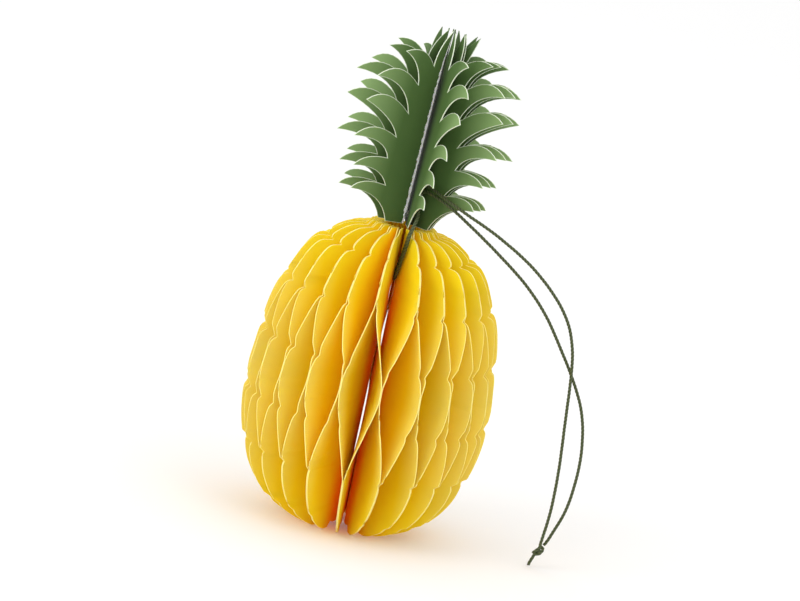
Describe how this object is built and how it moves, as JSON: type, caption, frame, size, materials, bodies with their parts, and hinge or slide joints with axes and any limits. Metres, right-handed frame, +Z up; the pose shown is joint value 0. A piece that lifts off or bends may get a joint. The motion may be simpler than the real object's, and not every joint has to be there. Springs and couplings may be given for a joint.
{
  "type": "honeycomb paper pineapple",
  "caption": "Folded and cut paper pineapple: a round honeycomb body of glued card leaves, a spiky leaf crown and a hanging cord with a knot.",
  "frame": {"origin": "on the ground under the middle of the round body", "axes": "+Z up along the core that the leaves stand round, -Y towards the front seam where the cord comes out, +X to the side that the cord hangs on"},
  "size_m": [0.1018, 0.0727, 0.1502],
  "materials": {
    "yellow_card": "matt dyed card, paler along the cut edges",
    "green_card": "matt dyed card, paler along the cut edges",
    "waxed_cord": "waxed twisted cotton, satin"
  },
  "bodies": {
    "root": {"body_leaf_01": "yellow_card", "body_leaf_02": "yellow_card", "body_leaf_03": "yellow_card", "body_leaf_04": "yellow_card", "body_leaf_05": "yellow_card", "body_leaf_06": "yellow_card", "body_leaf_07": "yellow_card", "body_leaf_08": "yellow_card", "body_leaf_09": "yellow_card", "body_leaf_10": "yellow_card", "body_leaf_11": "yellow_card", "body_leaf_12": "yellow_card", "body_leaf_13": "yellow_card", "body_leaf_14": "yellow_card", "body_leaf_15": "yellow_card", "body_leaf_16": "yellow_card", "body_leaf_17": "yellow_card", "body_leaf_18": "yellow_card", "body_leaf_19": "yellow_card", "body_leaf_20": "yellow_card", "body_leaf_21": "yellow_card", "body_leaf_22": "yellow_card", "body_leaf_23": "yellow_card", "body_leaf_24": "yellow_card", "body_leaf_25": "yellow_card", "body_leaf_26": "yellow_card", "body_leaf_27": "yellow_card", "body_leaf_28": "yellow_card", "body_leaf_29": "yellow_card", "body_leaf_30": "yellow_card", "body_leaf_31": "yellow_card", "body_leaf_32": "yellow_card", "body_leaf_33": "yellow_card", "body_leaf_34": "yellow_card", "body_leaf_35": "yellow_card", "body_leaf_36": "yellow_card", "body_leaf_37": "yellow_card", "body_leaf_38": "yellow_card", "body_leaf_39": "yellow_card", "body_leaf_40": "yellow_card", "body_leaf_41": "yellow_card", "body_leaf_42": "yellow_card", "body_leaf_43": "yellow_card", "body_leaf_44": "yellow_card", "crown_leaf_01": "green_card", "crown_leaf_02": "green_card", "crown_leaf_03": "green_card", "crown_leaf_04": "green_card", "crown_leaf_05": "green_card", "crown_leaf_06": "green_card", "crown_leaf_07": "green_card", "crown_leaf_08": "green_card", "crown_leaf_09": "green_card", "crown_leaf_10": "green_card", "crown_leaf_11": "green_card", "crown_leaf_12": "green_card", "cord_strand_outer": "waxed_cord", "cord_strand_inner": "waxed_cord", "cord_knot": "waxed_cord"}
  },
  "joints": []
}
